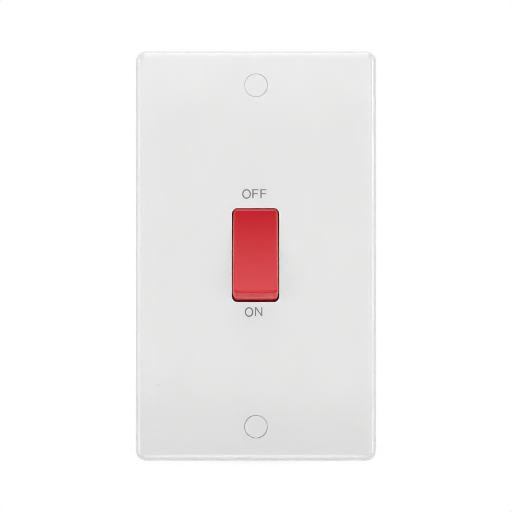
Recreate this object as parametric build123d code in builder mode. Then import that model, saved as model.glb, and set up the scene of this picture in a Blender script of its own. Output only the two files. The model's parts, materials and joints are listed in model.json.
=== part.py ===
from build123d import *
import os
from math import atan2, cos, degrees, pi, radians, sin

# Cooker switch: a tall moulded wall plate with a wide double-pole rocker at its centre.
# Frame: X to the right and Z up as seen from the room, Y into the wall.
# The origin is the centre of the plate's rear rim, which lies on the wall.
# The rocker is drawn switched off: its upper end is pressed in.

# Front plate
plate_width = 85.7
plate_height = 145.8
plate_depth = 9.0
plate_corner = 3.8
plate_edge = 3.0
plate_draft = 2.0
plate_skin = 2.8
plate_wall = 2.6
lip_width = 0.35
lip_depth = 0.23
switch_rise = 0.3
switch_left = 0.16

# Ribs behind the plate
rib_thickness = 1.4
rib_height = 3.0
rib_margin = 5.0
rib_pitch = 12.0

# Fixing screws, their bosses and caps
fixing_inset = 12.6
fixing_diameter = 3.5
fixing_neck = 3.1
fixing_length = 25.0
fixing_head = 6.6
fixing_head_height = 2.3
fixing_head_edge = 0.8
fixing_tip = 0.6
fixing_clearance = 0.25
head_clearance = 0.3
boss_wall = 1.8
boss_floor = 2.9
boss_setback = 0.5
cap_diameter = 8.1
cap_thickness = 1.6
cap_clearance = 0.1
cap_edge = 0.15
cap_spigot_length = 1.2
cap_spigot_clearance = 0.05

# Rocker
rocker_width = 15.94
rocker_half_length = 14.9
rocker_face_height = 9.1
rocker_tilt = 10.5
rocker_dish = 0.5
rocker_corner = 1.6
rocker_edge = 1.0
rocker_end_lean = 24.9
rocker_end_bow = 20.0
rocker_wall = 1.6
rocker_web = 1.2
rocker_side_gap = 0.38
rocker_end_gap = 0.3
skirt_drop = 1.0
pressed_proud = 0.2
trunnion_radius = 1.9
trunnion_length = 2.2
trunnion_clearance = 0.05
trunnion_end_gap = 0.2
trunnion_eye = 3.1

# Plungers and springs inside the rocker
pole_spacing = 8.0
barrel_wall = 0.9
barrel_drop = 3.2
barrel_height = 5.8
plunger_diameter = 3.6
plunger_clearance = 0.1
plunger_length = 10.4
plunger_nose = 1.0
plunger_gap = 0.06
plunger_throw = 9.5
spring_wire = 0.5
spring_clearance = 0.1
spring_turns = 4
spring_steps = 10
spring_sides = 6

# Contact arms that rock on the supply tongues
arm_width = 5.4
arm_thickness = 1.6
arm_axis_gap = 0.9
arm_lever = 9.0
arm_tail = 2.0
arm_tilt = 10.5
arm_corner = 0.8
ridge_radius = 1.3
ridge_clearance = 0.1
heel_clearance = 0.08
tip_diameter = 4.0
tip_height = 1.2
tip_shoulder = 0.6
tip_flat_diameter = 2.0
fixed_tip_diameter = 4.6
fixed_tip_height = 1.0
fixed_tip_edge = 0.3
contact_clearance = 0.05

# Terminals with their tongues and screws
terminal_spacing = 20.0
terminal_start = 15.0
terminal_front = 4.5
terminal_width = 12.0
terminal_length = 17.0
terminal_depth = 13.0
terminal_edge = 0.4
conductor_bore = 6.4
conductor_bore_length = 13.4
conductor_bore_wall = 1.5
tongue_inner = 1.3
tongue_width = 6.8
tongue_thickness = 1.8
tongue_gap = 0.8
supply_tongue_end = 2.2
load_tongue_margin = 1.2
terminal_screw = 5.0
terminal_screw_pitch = 6.8
terminal_screw_length = 6.8
terminal_screw_head = 6.4
terminal_screw_head_height = 2.6
thread_clearance = 0.05

# Switch housing and bearing cover
housing_wall = 2.0
housing_floor = 2.6
housing_rear_wall = 2.5
housing_corner = 1.2
pocket_clearance = 0.1
chamber_gap = 0.5
bearing_wall = 1.0
barrier_thickness = 1.6
barrier_top = 4.5
access_clearance = 0.5
shroud_wall = 1.4
shroud_height = 2.2
entry_clearance = 1.0
creepage_slot = 3.6
creepage_slot_depth = 14.0
hold_down_width = 7.0
hold_down_length = 9.0
hold_down_draft = 1.0

# Screws that hold the housing to the plate
ear_reach = 8.0
ear_length = 7.0
ear_thickness = 2.8
ear_offset = 8.0
ear_recess = 1.0
pillar_diameter = 6.4
assembly_screw = 2.9
assembly_screw_length = 7.4
assembly_screw_head = 5.8
assembly_screw_head_height = 2.2
assembly_screw_edge = 0.7
assembly_hole_clearance = 0.2
pilot_depth = 0.3

# Earth terminal on the plate
earth_width = 8.0
earth_length = 14.0
earth_depth = 10.4
earth_recess = 2.0
earth_bore = 4.8
earth_bore_wall = 2.8
earth_screw = 4.0
earth_screw_pitch = 6.4
earth_screw_length = 4.2
earth_screw_head = 5.6
earth_screw_head_height = 2.2
cradle_wall = 1.6
cradle_height = 3.2
cradle_clearance = 0.05

# Levels along the depth
face_level = -plate_depth
skin_level = face_level + plate_skin
boss_level = -boss_setback
fixing_seat = boss_level - boss_floor
fixing_pitch = plate_height - 2 * fixing_inset
ear_front = -ear_recess
earth_seat = -earth_recess
cap_seat = face_level + cap_thickness
hollow_width = plate_width - 2 * plate_wall
hollow_height = plate_height - 2 * plate_wall

# Swing of the rocker about its trunnions
tilt = radians(rocker_tilt)
pressed_reach = rocker_half_length * cos(tilt) + rocker_face_height * sin(tilt)
pressed_height = rocker_face_height * cos(tilt) - rocker_half_length * sin(tilt)
rocker_axis_level = face_level + pressed_height - pressed_proud
aperture_width = rocker_width + 2 * rocker_side_gap
aperture_length = 2 * (pressed_reach + rocker_end_gap)
aperture_corner = rocker_corner + rocker_side_gap
end_lean = radians(rocker_end_lean)
bow_centre = rocker_half_length - rocker_end_bow * cos(end_lean)
bow_height = rocker_face_height - rocker_end_bow * sin(end_lean)
skirt_reach = bow_centre + rocker_end_bow
skirt_swing = skirt_reach * sin(tilt) + skirt_drop * cos(tilt)
pressed_bow = bow_centre * cos(tilt) + bow_height * sin(tilt) + rocker_end_bow
aperture_relief = pressed_bow - pressed_reach
relief_depth = plate_skin - lip_depth
relief_angle = degrees(atan2(aperture_relief, relief_depth))
lip_angle = degrees(atan2(lip_width, lip_depth))
trunnion_end = rocker_width / 2 + trunnion_length
bearing_radius = trunnion_radius + trunnion_clearance

# Plungers, arms and contacts
barrel_bore = plunger_diameter + 2 * plunger_clearance
barrel_diameter = barrel_bore + 2 * barrel_wall
rocker_ceiling = rocker_face_height - rocker_dish - rocker_wall
plunger_tip = plunger_throw - plunger_gap
plunger_top = plunger_length - plunger_tip
arm_swing = radians(arm_tilt)
arm_front_level = rocker_axis_level + plunger_throw
arm_axis_level = arm_front_level + arm_thickness + arm_axis_gap
heel_length = (tongue_gap - heel_clearance + arm_axis_gap * cos(arm_swing)) / sin(arm_swing)
groove_radius = ridge_radius + ridge_clearance
supply_tongue_front = arm_axis_level + tongue_gap
tip_reach = arm_lever + tip_flat_diameter / 2
tip_rise = tip_height - arm_axis_gap
closed_tip = arm_axis_level + tip_reach * sin(arm_swing) + tip_rise * cos(arm_swing)
contact_height = arm_lever * cos(arm_swing) - tip_rise * sin(arm_swing)
fixed_tip_front = closed_tip + contact_clearance
load_tongue_front = fixed_tip_front + fixed_tip_height
load_tongue_end = contact_height - fixed_tip_diameter / 2 - load_tongue_margin

# Terminals and housing
terminal_rear = terminal_front + terminal_depth
terminal_end = terminal_start + terminal_length
bore_level = terminal_front + conductor_bore_wall + conductor_bore / 2
terminal_screw_centre = terminal_end - conductor_bore_length / 2
terminal_screw_tip = bore_level + conductor_bore / 2 + thread_clearance
chamber_floor = load_tongue_front + tongue_thickness
chamber_half_width = rocker_width / 2 + chamber_gap
chamber_half_length = terminal_start - pocket_clearance - housing_wall / 2
skirt_room = rocker_axis_level + skirt_swing + chamber_gap
housing_front = rocker_axis_level
housing_waist = trunnion_end + trunnion_end_gap + bearing_wall
housing_half_width = terminal_spacing / 2 + terminal_width / 2 + pocket_clearance + housing_wall
housing_half_length = terminal_end + pocket_clearance + housing_wall
housing_shoulder = terminal_start - pocket_clearance - housing_wall
block_rear = terminal_rear + housing_rear_wall
access_width = terminal_screw_head + 2 * access_clearance
opening_width = rocker_width + 2 * chamber_gap
opening_length = 2 * (pressed_bow + chamber_gap)
ear_column = housing_waist + ear_reach / 2
rib_column = housing_half_width + rib_margin
earth_offset = (housing_waist + ear_reach + hollow_width / 2) / 2
earth_bore_level = earth_seat + earth_bore_wall + earth_bore / 2
earth_screw_tip = earth_bore_level + earth_bore / 2 + thread_clearance
earth_rear = earth_seat + earth_depth

poles = (("live", -1), ("neutral", 1))
caps = (("upper", 1), ("lower", -1))


# Planes parallel to the wall: drawn as seen from the room, X to the right and Z up.
def plate_plane(level):
    return Plane((0, level, 0), x_dir=(1, 0, 0), z_dir=(0, -1, 0))


def switch_plane(level):
    return Plane((-switch_left, level, switch_rise), x_dir=(1, 0, 0), z_dir=(0, -1, 0))


# Planes across the switch: drawn with Y to the right and Z up, facing +X.
def cross_plane(level, offset=0.0):
    return Plane((offset - switch_left, level, switch_rise), x_dir=(0, 1, 0), z_dir=(1, 0, 0))


# The tilted frames of the rocker and of the contact arms
rocker_axis = (-switch_left, rocker_axis_level, switch_rise)
rocker_front = Plane(rocker_axis, x_dir=(1, 0, 0), z_dir=(0, -cos(tilt), sin(tilt)))
rocker_side = Plane(rocker_axis, x_dir=rocker_front.y_dir, z_dir=(1, 0, 0))
arm_axis = (-switch_left, arm_axis_level, switch_rise)
arm_front = Plane(arm_axis, x_dir=(1, 0, 0), z_dir=(0, -cos(arm_swing), -sin(arm_swing)))
arm_side = Plane(arm_axis, x_dir=arm_front.y_dir, z_dir=(1, 0, 0))


# Outline of the housing: two wide terminal blocks joined by a narrow waist.
def draw_housing_outline():
    Rectangle(2 * housing_waist, 2 * housing_half_length)
    block_length = housing_half_length - housing_shoulder
    with GridLocations(0, housing_half_length + housing_shoulder, 1, 2):
        Rectangle(2 * housing_half_width, block_length)


os.makedirs("parts", exist_ok=True)

# Front plate
with BuildPart() as front_plate:
    with BuildSketch(plate_plane(0)):
        RectangleRounded(plate_width, plate_height, plate_corner)
    extrude(amount=plate_depth, taper=plate_draft)
    fillet(front_plate.faces().sort_by(Axis.Y)[0].edges(), plate_edge)
    with BuildSketch(plate_plane(0)):
        RectangleRounded(hollow_width, hollow_height, plate_corner - plate_wall / 2)
    extrude(amount=-skin_level, taper=plate_draft, mode=Mode.SUBTRACT)
    # Aperture of the rocker: wider inside, with a bevelled lip at the face
    with BuildSketch(switch_plane(skin_level)):
        RectangleRounded(
            aperture_width + 2 * aperture_relief,
            aperture_length + 2 * aperture_relief,
            aperture_corner + aperture_relief,
        )
    extrude(amount=relief_depth, taper=relief_angle, mode=Mode.SUBTRACT)
    with BuildSketch(switch_plane(face_level + lip_depth)):
        RectangleRounded(aperture_width, aperture_length, aperture_corner)
    extrude(amount=lip_depth, taper=-lip_angle, mode=Mode.SUBTRACT)
    # Stiffening ribs beside and beyond the housing
    with BuildSketch(plate_plane(skin_level + rib_height)):
        with GridLocations(2 * rib_column, 0, 2, 1):
            Rectangle(rib_thickness, hollow_height)
        for rib in (1, 2):
            with GridLocations(0, 2 * (housing_half_length - rib_margin + rib * rib_pitch), 1, 2):
                Rectangle(hollow_width, rib_thickness)
    extrude(amount=rib_height)
    # Bosses of the fixing screws
    with BuildSketch(plate_plane(boss_level)):
        with GridLocations(0, fixing_pitch, 1, 2):
            Circle(cap_diameter / 2 + boss_wall)
    extrude(amount=boss_level - skin_level)
    # Pillars for the screws of the housing
    with BuildSketch(switch_plane(ear_front)):
        with GridLocations(2 * ear_column, 2 * ear_offset, 2, 2):
            Circle(pillar_diameter / 2)
    extrude(amount=ear_front - skin_level)
    # Cradle of the earth terminal
    with BuildSketch(plate_plane(earth_seat + cradle_height)):
        with Locations((earth_offset, 0)):
            Rectangle(earth_width + 2 * (cradle_clearance + cradle_wall), earth_length)
    extrude(amount=earth_seat + cradle_height - skin_level)
    with BuildSketch(plate_plane(earth_seat + cradle_height)):
        with Locations((earth_offset, 0)):
            Rectangle(earth_width + 2 * cradle_clearance, earth_length)
    extrude(amount=cradle_height, mode=Mode.SUBTRACT)
    # Wells of the caps and screw heads, and the holes below them
    with BuildSketch(plate_plane(cap_seat)):
        with GridLocations(0, fixing_pitch, 1, 2):
            Circle(cap_diameter / 2 + cap_clearance)
    extrude(amount=cap_thickness, mode=Mode.SUBTRACT)
    with BuildSketch(plate_plane(fixing_seat)):
        with GridLocations(0, fixing_pitch, 1, 2):
            Circle(fixing_head / 2 + head_clearance)
    extrude(amount=fixing_seat - cap_seat, mode=Mode.SUBTRACT)
    with BuildSketch(plate_plane(boss_level)):
        with GridLocations(0, fixing_pitch, 1, 2):
            Circle(fixing_diameter / 2 + fixing_clearance)
    extrude(amount=boss_floor, mode=Mode.SUBTRACT)
    # Pilot holes of the housing screws
    with BuildSketch(switch_plane(ear_front)):
        with GridLocations(2 * ear_column, 2 * ear_offset, 2, 2):
            Circle(assembly_screw / 2 + thread_clearance)
    extrude(amount=assembly_screw_length - ear_thickness + pilot_depth, mode=Mode.SUBTRACT)
front_plate.part.label = "front_plate"
export_step(front_plate.part, "parts/front_plate.step")

# Screw caps: flush discs with a short spigot in the head well
for place, side in caps:
    with BuildPart() as screw_cap:
        with BuildSketch(plate_plane(cap_seat)):
            with Locations((0, side * fixing_pitch / 2)):
                Circle(cap_diameter / 2)
        extrude(amount=cap_thickness)
        chamfer(screw_cap.faces().sort_by(Axis.Y)[0].edges(), cap_edge)
        with BuildSketch(plate_plane(cap_seat)):
            with Locations((0, side * fixing_pitch / 2)):
                Circle(fixing_head / 2 + head_clearance - cap_spigot_clearance)
        extrude(amount=-cap_spigot_length)
    screw_cap.part.label = place + "_screw_cap"
    export_step(screw_cap.part, "parts/" + place + "_screw_cap.step")

# Fixing screws: a plain neck in the plate, and the threaded length beyond it
with BuildPart() as fixing_screws:
    with BuildSketch(plate_plane(fixing_seat)):
        with GridLocations(0, fixing_pitch, 1, 2):
            Circle(fixing_head / 2)
    extrude(amount=fixing_head_height)
    chamfer(fixing_screws.faces().group_by(Axis.Y)[0].edges(), fixing_head_edge)
    with BuildSketch(plate_plane(fixing_seat)):
        with GridLocations(0, fixing_pitch, 1, 2):
            Circle(fixing_neck / 2)
    extrude(amount=fixing_seat)
    with BuildSketch(plate_plane(fixing_seat + fixing_length)):
        with GridLocations(0, fixing_pitch, 1, 2):
            Circle(fixing_diameter / 2)
    extrude(amount=fixing_seat + fixing_length)
    chamfer(fixing_screws.faces().group_by(Axis.Y)[-1].edges(), fixing_tip)
fixing_screws.part.label = "fixing_screws"
export_step(fixing_screws.part, "parts/fixing_screws.step")

# Rocker: a hollow moulding with a shallow dished face and bowed ends
with BuildPart() as rocker:
    with BuildSketch(rocker_side):
        with BuildLine():
            CenterArc((bow_centre, bow_height), rocker_end_bow, 0, rocker_end_lean)
            ThreePointArc(
                (rocker_half_length, rocker_face_height),
                (0, rocker_face_height - rocker_dish),
                (-rocker_half_length, rocker_face_height),
            )
            CenterArc((-bow_centre, bow_height), rocker_end_bow, 180, -rocker_end_lean)
            Polyline(
                (-skirt_reach, bow_height),
                (-skirt_reach, -skirt_drop),
                (skirt_reach, -skirt_drop),
                (skirt_reach, bow_height),
            )
        make_face()
    extrude(amount=rocker_width / 2, both=True)
    upwards = Axis(rocker_axis, rocker_side.x_dir)
    forwards = Axis(rocker_axis, rocker_front.z_dir)
    flanks = rocker.faces().sort_by(Axis.X)
    end_edges = ShapeList()
    for flank in (flanks[0], flanks[-1]):
        along = flank.edges().sort_by(upwards)
        end_edges += along[:2] + along[-2:]
    fillet(end_edges, rocker_corner)
    fillet(rocker.faces().sort_by(forwards)[-1].edges(), rocker_edge)
    # Hollow inside
    with BuildSketch(rocker_side):
        with BuildLine():
            Polyline(
                (skirt_reach - rocker_wall, -skirt_drop),
                (skirt_reach - rocker_wall, bow_height),
                (rocker_half_length - rocker_wall, rocker_ceiling),
                (-rocker_half_length + rocker_wall, rocker_ceiling),
                (-skirt_reach + rocker_wall, bow_height),
                (-skirt_reach + rocker_wall, -skirt_drop),
                close=True,
            )
        make_face()
    extrude(amount=rocker_width / 2 - rocker_wall, both=True, mode=Mode.SUBTRACT)
    # Middle web and the barrels of the plungers
    with BuildSketch(rocker_front.offset(bow_height)):
        Rectangle(rocker_web, 2 * (rocker_half_length - rocker_wall / 2))
    extrude(amount=rocker_ceiling - bow_height)
    with BuildSketch(rocker_front.offset(-barrel_drop)):
        with GridLocations(pole_spacing, 0, 2, 1):
            Circle(barrel_diameter / 2)
    extrude(amount=barrel_drop + rocker_ceiling)
    # Trunnions with the eyes that carry them
    for side in (-1, 1):
        with BuildSketch(rocker_side.offset(side * (rocker_width / 2 - rocker_wall))):
            Circle(trunnion_eye)
        extrude(amount=side * rocker_wall)
        with BuildSketch(rocker_side.offset(side * rocker_width / 2)):
            Circle(trunnion_radius)
        extrude(amount=side * trunnion_length)
    with BuildSketch(rocker_front.offset(-barrel_drop)):
        with GridLocations(pole_spacing, 0, 2, 1):
            Circle(barrel_bore / 2)
    extrude(amount=barrel_drop + barrel_height, mode=Mode.SUBTRACT)
rocker.part.label = "rocker"
export_step(rocker.part, "parts/rocker.step")

# Bearing cover: closes the housing, holds the trunnions and the terminals down
with BuildPart() as bearing_cover:
    with BuildSketch(switch_plane(housing_front)) as cover_outline:
        draw_housing_outline()
        fillet(cover_outline.vertices(), housing_corner)
        RectangleRounded(opening_width, opening_length, rocker_corner + chamber_gap, mode=Mode.SUBTRACT)
    extrude(amount=housing_front - skin_level)
    with BuildSketch(switch_plane(housing_front)):
        with GridLocations(terminal_spacing, terminal_start + terminal_end, 2, 2):
            Rectangle(hold_down_width, hold_down_length)
    extrude(amount=housing_front - terminal_front, taper=hold_down_draft)
    with BuildSketch(cross_plane(housing_front)):
        Circle(bearing_radius)
    extrude(amount=trunnion_end + trunnion_end_gap, both=True, mode=Mode.SUBTRACT)
bearing_cover.part.label = "bearing_cover"
export_step(bearing_cover.part, "parts/bearing_cover.step")

# Switch housing
with BuildPart() as switch_housing:
    with BuildSketch(switch_plane(chamber_floor + housing_floor)) as housing_outline:
        draw_housing_outline()
        fillet(housing_outline.vertices(), housing_corner)
    extrude(amount=chamber_floor + housing_floor - housing_front)
    with BuildSketch(switch_plane(block_rear)) as block_outline:
        with GridLocations(0, housing_half_length + housing_shoulder, 1, 2):
            Rectangle(2 * housing_half_width, housing_half_length - housing_shoulder)
        fillet(block_outline.vertices(), housing_corner)
    extrude(amount=block_rear - housing_front)
    # Room for the swing of the rocker, and the contact chamber below it
    with BuildSketch(switch_plane(skirt_room)):
        RectangleRounded(opening_width, opening_length, rocker_corner + chamber_gap)
    extrude(amount=skirt_room - housing_front, mode=Mode.SUBTRACT)
    with BuildSketch(switch_plane(chamber_floor)):
        Rectangle(2 * chamber_half_width, 2 * chamber_half_length)
    extrude(amount=chamber_floor - housing_front, mode=Mode.SUBTRACT)
    # Terminal pockets, and the slots that let the tongues into the chamber
    with BuildSketch(switch_plane(terminal_rear)):
        with GridLocations(terminal_spacing, terminal_start + terminal_end, 2, 2):
            Rectangle(terminal_width + 2 * pocket_clearance, terminal_length + 2 * pocket_clearance)
    extrude(amount=terminal_rear - housing_front, mode=Mode.SUBTRACT)
    with BuildSketch(switch_plane(chamber_floor)):
        with GridLocations(2 * tongue_inner + tongue_width, 2 * terminal_start, 2, 2):
            Rectangle(tongue_width + 2 * pocket_clearance, 2 * housing_wall)
    extrude(amount=chamber_floor - housing_front, mode=Mode.SUBTRACT)
    # Steps that carry the supply tongues, and the barrier between the poles
    step_length = chamber_half_length + supply_tongue_end
    with BuildSketch(switch_plane(chamber_floor)):
        with GridLocations(2 * tongue_inner + tongue_width, 0, 2, 1):
            with Locations((0, (supply_tongue_end - chamber_half_length) / 2)):
                Rectangle(tongue_width, step_length)
    extrude(amount=chamber_floor - supply_tongue_front - tongue_thickness)
    with BuildSketch(switch_plane(chamber_floor)):
        Rectangle(barrier_thickness, 2 * chamber_half_length)
    extrude(amount=chamber_floor - barrier_top)
    # Shrouds and access slots over the terminal screws
    with BuildSketch(switch_plane(block_rear + shroud_height)):
        with GridLocations(terminal_spacing, 2 * terminal_screw_centre, 2, 2):
            SlotCenterToCenter(terminal_screw_pitch, access_width + 2 * shroud_wall, rotation=90)
    extrude(amount=shroud_height)
    with BuildSketch(switch_plane(block_rear + shroud_height)):
        with GridLocations(terminal_spacing, 2 * terminal_screw_centre, 2, 2):
            SlotCenterToCenter(terminal_screw_pitch, access_width, rotation=90)
    extrude(amount=shroud_height + housing_rear_wall, mode=Mode.SUBTRACT)
    # Cable entries, and the slots that keep the poles apart
    for end in (-1, 1):
        entry_plane = Plane(
            (-switch_left, bore_level, switch_rise + end * housing_half_length),
            x_dir=(1, 0, 0),
            z_dir=(0, 0, end),
        )
        with BuildSketch(entry_plane):
            with GridLocations(terminal_spacing, 0, 2, 1):
                Circle(conductor_bore / 2 + entry_clearance)
        extrude(amount=-2 * housing_wall, mode=Mode.SUBTRACT)
    with BuildSketch(switch_plane(block_rear)):
        with GridLocations(0, 2 * housing_half_length, 1, 2):
            Rectangle(creepage_slot, 2 * terminal_length)
    extrude(amount=creepage_slot_depth, mode=Mode.SUBTRACT)
    # Bearings of the trunnions
    with BuildSketch(cross_plane(housing_front)):
        Circle(bearing_radius)
    extrude(amount=trunnion_end + trunnion_end_gap, both=True, mode=Mode.SUBTRACT)
    # Ears on the pillars of the plate
    with BuildSketch(switch_plane(ear_front + ear_thickness)):
        with GridLocations(2 * ear_column, 2 * ear_offset, 2, 2):
            Rectangle(ear_reach, ear_length)
            Circle(assembly_screw / 2 + assembly_hole_clearance, mode=Mode.SUBTRACT)
    extrude(amount=ear_thickness)
switch_housing.part.label = "switch_housing"
export_step(switch_housing.part, "parts/switch_housing.step")

# Screws that hold the housing to the plate
with BuildPart() as assembly_screws:
    with BuildSketch(switch_plane(ear_front + ear_thickness + assembly_screw_head_height)):
        with GridLocations(2 * ear_column, 2 * ear_offset, 2, 2):
            Circle(assembly_screw_head / 2)
    extrude(amount=assembly_screw_head_height)
    chamfer(assembly_screws.faces().group_by(Axis.Y)[-1].edges(), assembly_screw_edge)
    with BuildSketch(switch_plane(ear_front + ear_thickness)):
        with GridLocations(2 * ear_column, 2 * ear_offset, 2, 2):
            Circle(assembly_screw / 2)
    extrude(amount=assembly_screw_length)
assembly_screws.part.label = "assembly_screws"
export_step(assembly_screws.part, "parts/assembly_screws.step")

# Terminals: a bored brass block with a tongue into the contact chamber
for pole, side in poles:
    block_column = side * terminal_spacing / 2
    tongue_column = side * (tongue_inner + tongue_width / 2)
    for circuit, end in (("supply", -1), ("load", 1)):
        bore_plane = Plane(
            (block_column - switch_left, bore_level, switch_rise + end * terminal_end),
            x_dir=(1, 0, 0),
            z_dir=(0, 0, end),
        )
        tongue_front = supply_tongue_front if circuit == "supply" else load_tongue_front
        tongue_end = -supply_tongue_end if circuit == "supply" else load_tongue_end
        with BuildPart() as terminal:
            with BuildSketch(switch_plane(terminal_rear)):
                with Locations((block_column, end * (terminal_start + terminal_end) / 2)):
                    Rectangle(terminal_width, terminal_length)
            extrude(amount=terminal_depth)
            chamfer(terminal.edges(), terminal_edge)
            with BuildSketch(switch_plane(tongue_front + tongue_thickness)):
                with Locations((tongue_column, end * (terminal_start + terminal_edge + tongue_end) / 2)):
                    Rectangle(tongue_width, terminal_start + terminal_edge - tongue_end)
            extrude(amount=tongue_thickness)
            if circuit == "supply":
                with BuildSketch(cross_plane(arm_axis_level, side * pole_spacing / 2)):
                    Circle(ridge_radius)
                extrude(amount=arm_width / 2, both=True)
            with BuildSketch(bore_plane):
                Circle(conductor_bore / 2)
            extrude(amount=-conductor_bore_length, mode=Mode.SUBTRACT)
            with BuildSketch(switch_plane(terminal_rear)):
                with Locations((block_column, end * terminal_screw_centre)):
                    with GridLocations(0, terminal_screw_pitch, 1, 2):
                        Circle(terminal_screw / 2 + thread_clearance)
            extrude(amount=terminal_rear - bore_level, mode=Mode.SUBTRACT)
        terminal.part.label = pole + "_" + circuit + "_terminal"
        export_step(terminal.part, "parts/" + pole + "_" + circuit + "_terminal.step")

# Terminal screws, backed off so that the bores are clear
with BuildPart() as terminal_screws:
    with BuildSketch(switch_plane(terminal_screw_tip + terminal_screw_length)):
        with GridLocations(terminal_spacing, 2 * terminal_screw_centre, 2, 2):
            with GridLocations(0, terminal_screw_pitch, 1, 2):
                Circle(terminal_screw / 2)
    extrude(amount=terminal_screw_length)
    with BuildSketch(switch_plane(terminal_screw_tip + terminal_screw_length)):
        with GridLocations(terminal_spacing, 2 * terminal_screw_centre, 2, 2):
            with GridLocations(0, terminal_screw_pitch, 1, 2):
                Circle(terminal_screw_head / 2)
    extrude(amount=-terminal_screw_head_height)
terminal_screws.part.label = "terminal_screws"
export_step(terminal_screws.part, "parts/terminal_screws.step")

# Fixed contact tips on the load tongues
with BuildPart() as fixed_contact_tips:
    with BuildSketch(switch_plane(load_tongue_front)):
        with GridLocations(pole_spacing, 0, 2, 1):
            with Locations((0, contact_height)):
                Circle(fixed_tip_diameter / 2)
    extrude(amount=fixed_tip_height)
    chamfer(fixed_contact_tips.faces().group_by(Axis.Y)[0].edges(), fixed_tip_edge)
fixed_contact_tips.part.label = "fixed_contact_tips"
export_step(fixed_contact_tips.part, "parts/fixed_contact_tips.step")

# Contact arms, their tips, and the plungers and springs that tip them over
for pole, side in poles:
    column = side * pole_spacing / 2
    with BuildPart() as contact_arm:
        with BuildSketch(arm_front.offset(arm_axis_gap)):
            with Locations((column, (arm_lever + arm_tail - heel_length) / 2)):
                RectangleRounded(arm_width, heel_length + arm_lever + arm_tail, arm_corner)
        extrude(amount=arm_thickness)
        with BuildSketch(arm_side.offset(column)):
            Circle(groove_radius)
        extrude(amount=arm_width, both=True, mode=Mode.SUBTRACT)
    contact_arm.part.label = pole + "_contact_arm"
    export_step(contact_arm.part, "parts/" + pole + "_contact_arm.step")

    tip_root = arm_front.from_local_coords((column, arm_lever, 0))
    with BuildPart() as moving_tip:
        with BuildSketch(arm_side.offset(column)):
            with BuildLine():
                Polyline(
                    (arm_lever, arm_axis_gap),
                    (arm_lever + tip_diameter / 2, arm_axis_gap),
                    (arm_lever + tip_diameter / 2, arm_axis_gap - tip_shoulder),
                    (tip_reach, arm_axis_gap - tip_height),
                    (arm_lever, arm_axis_gap - tip_height),
                    close=True,
                )
            make_face()
        revolve(axis=Axis(tip_root, arm_front.z_dir))
    moving_tip.part.label = pole + "_moving_tip"
    export_step(moving_tip.part, "parts/" + pole + "_moving_tip.step")

    with BuildPart() as plunger:
        with BuildSketch(rocker_front.offset(-plunger_tip)):
            with Locations((column, 0)):
                Circle(plunger_diameter / 2)
        extrude(amount=plunger_length)
        chamfer(plunger.faces().sort_by(forwards)[0].edges(), plunger_nose)
    plunger.part.label = pole + "_plunger"
    export_step(plunger.part, "parts/" + pole + "_plunger.step")

    spring_radius = barrel_bore / 2 - spring_clearance - spring_wire / 2
    spring_height = barrel_height - plunger_top - spring_wire
    spring_foot = plunger_top + spring_wire / 2
    coil_steps = spring_turns * spring_steps
    coil_points = []
    for step in range(coil_steps + 1):
        turn = 2 * pi * step / spring_steps
        across = column + spring_radius * cos(turn)
        along = spring_foot + spring_height * step / coil_steps
        coil_points.append(rocker_front.from_local_coords((across, spring_radius * sin(turn), along)))
    with BuildPart() as spring:
        with BuildLine() as coil:
            Polyline(*coil_points)
        with BuildSketch(Plane(coil.line @ 0, z_dir=coil.line % 0)):
            RegularPolygon(spring_wire / 2, spring_sides)
        sweep(transition=Transition.RIGHT)
    spring.part.label = pole + "_spring"
    export_step(spring.part, "parts/" + pole + "_spring.step")

# Earth terminal in the cradle of the plate
with BuildPart() as earth_terminal:
    with BuildSketch(plate_plane(earth_rear)):
        with Locations((earth_offset, 0)):
            Rectangle(earth_width, earth_length)
    extrude(amount=earth_depth)
    chamfer(earth_terminal.edges(), terminal_edge)
    with BuildSketch(Plane((earth_offset, earth_bore_level, 0), x_dir=(1, 0, 0), z_dir=(0, 0, -1))):
        Circle(earth_bore / 2)
    extrude(amount=earth_length / 2, both=True, mode=Mode.SUBTRACT)
    with BuildSketch(plate_plane(earth_rear)):
        with Locations((earth_offset, 0)):
            with GridLocations(0, earth_screw_pitch, 1, 2):
                Circle(earth_screw / 2 + thread_clearance)
    extrude(amount=earth_rear - earth_bore_level, mode=Mode.SUBTRACT)
earth_terminal.part.label = "earth_terminal"
export_step(earth_terminal.part, "parts/earth_terminal.step")

with BuildPart() as earth_screws:
    with BuildSketch(plate_plane(earth_screw_tip + earth_screw_length)):
        with Locations((earth_offset, 0)):
            with GridLocations(0, earth_screw_pitch, 1, 2):
                Circle(earth_screw / 2)
    extrude(amount=earth_screw_length)
    with BuildSketch(plate_plane(earth_screw_tip + earth_screw_length)):
        with Locations((earth_offset, 0)):
            with GridLocations(0, earth_screw_pitch, 1, 2):
                Circle(earth_screw_head / 2)
    extrude(amount=-earth_screw_head_height)
earth_screws.part.label = "earth_screws"
export_step(earth_screws.part, "parts/earth_screws.step")
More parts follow.
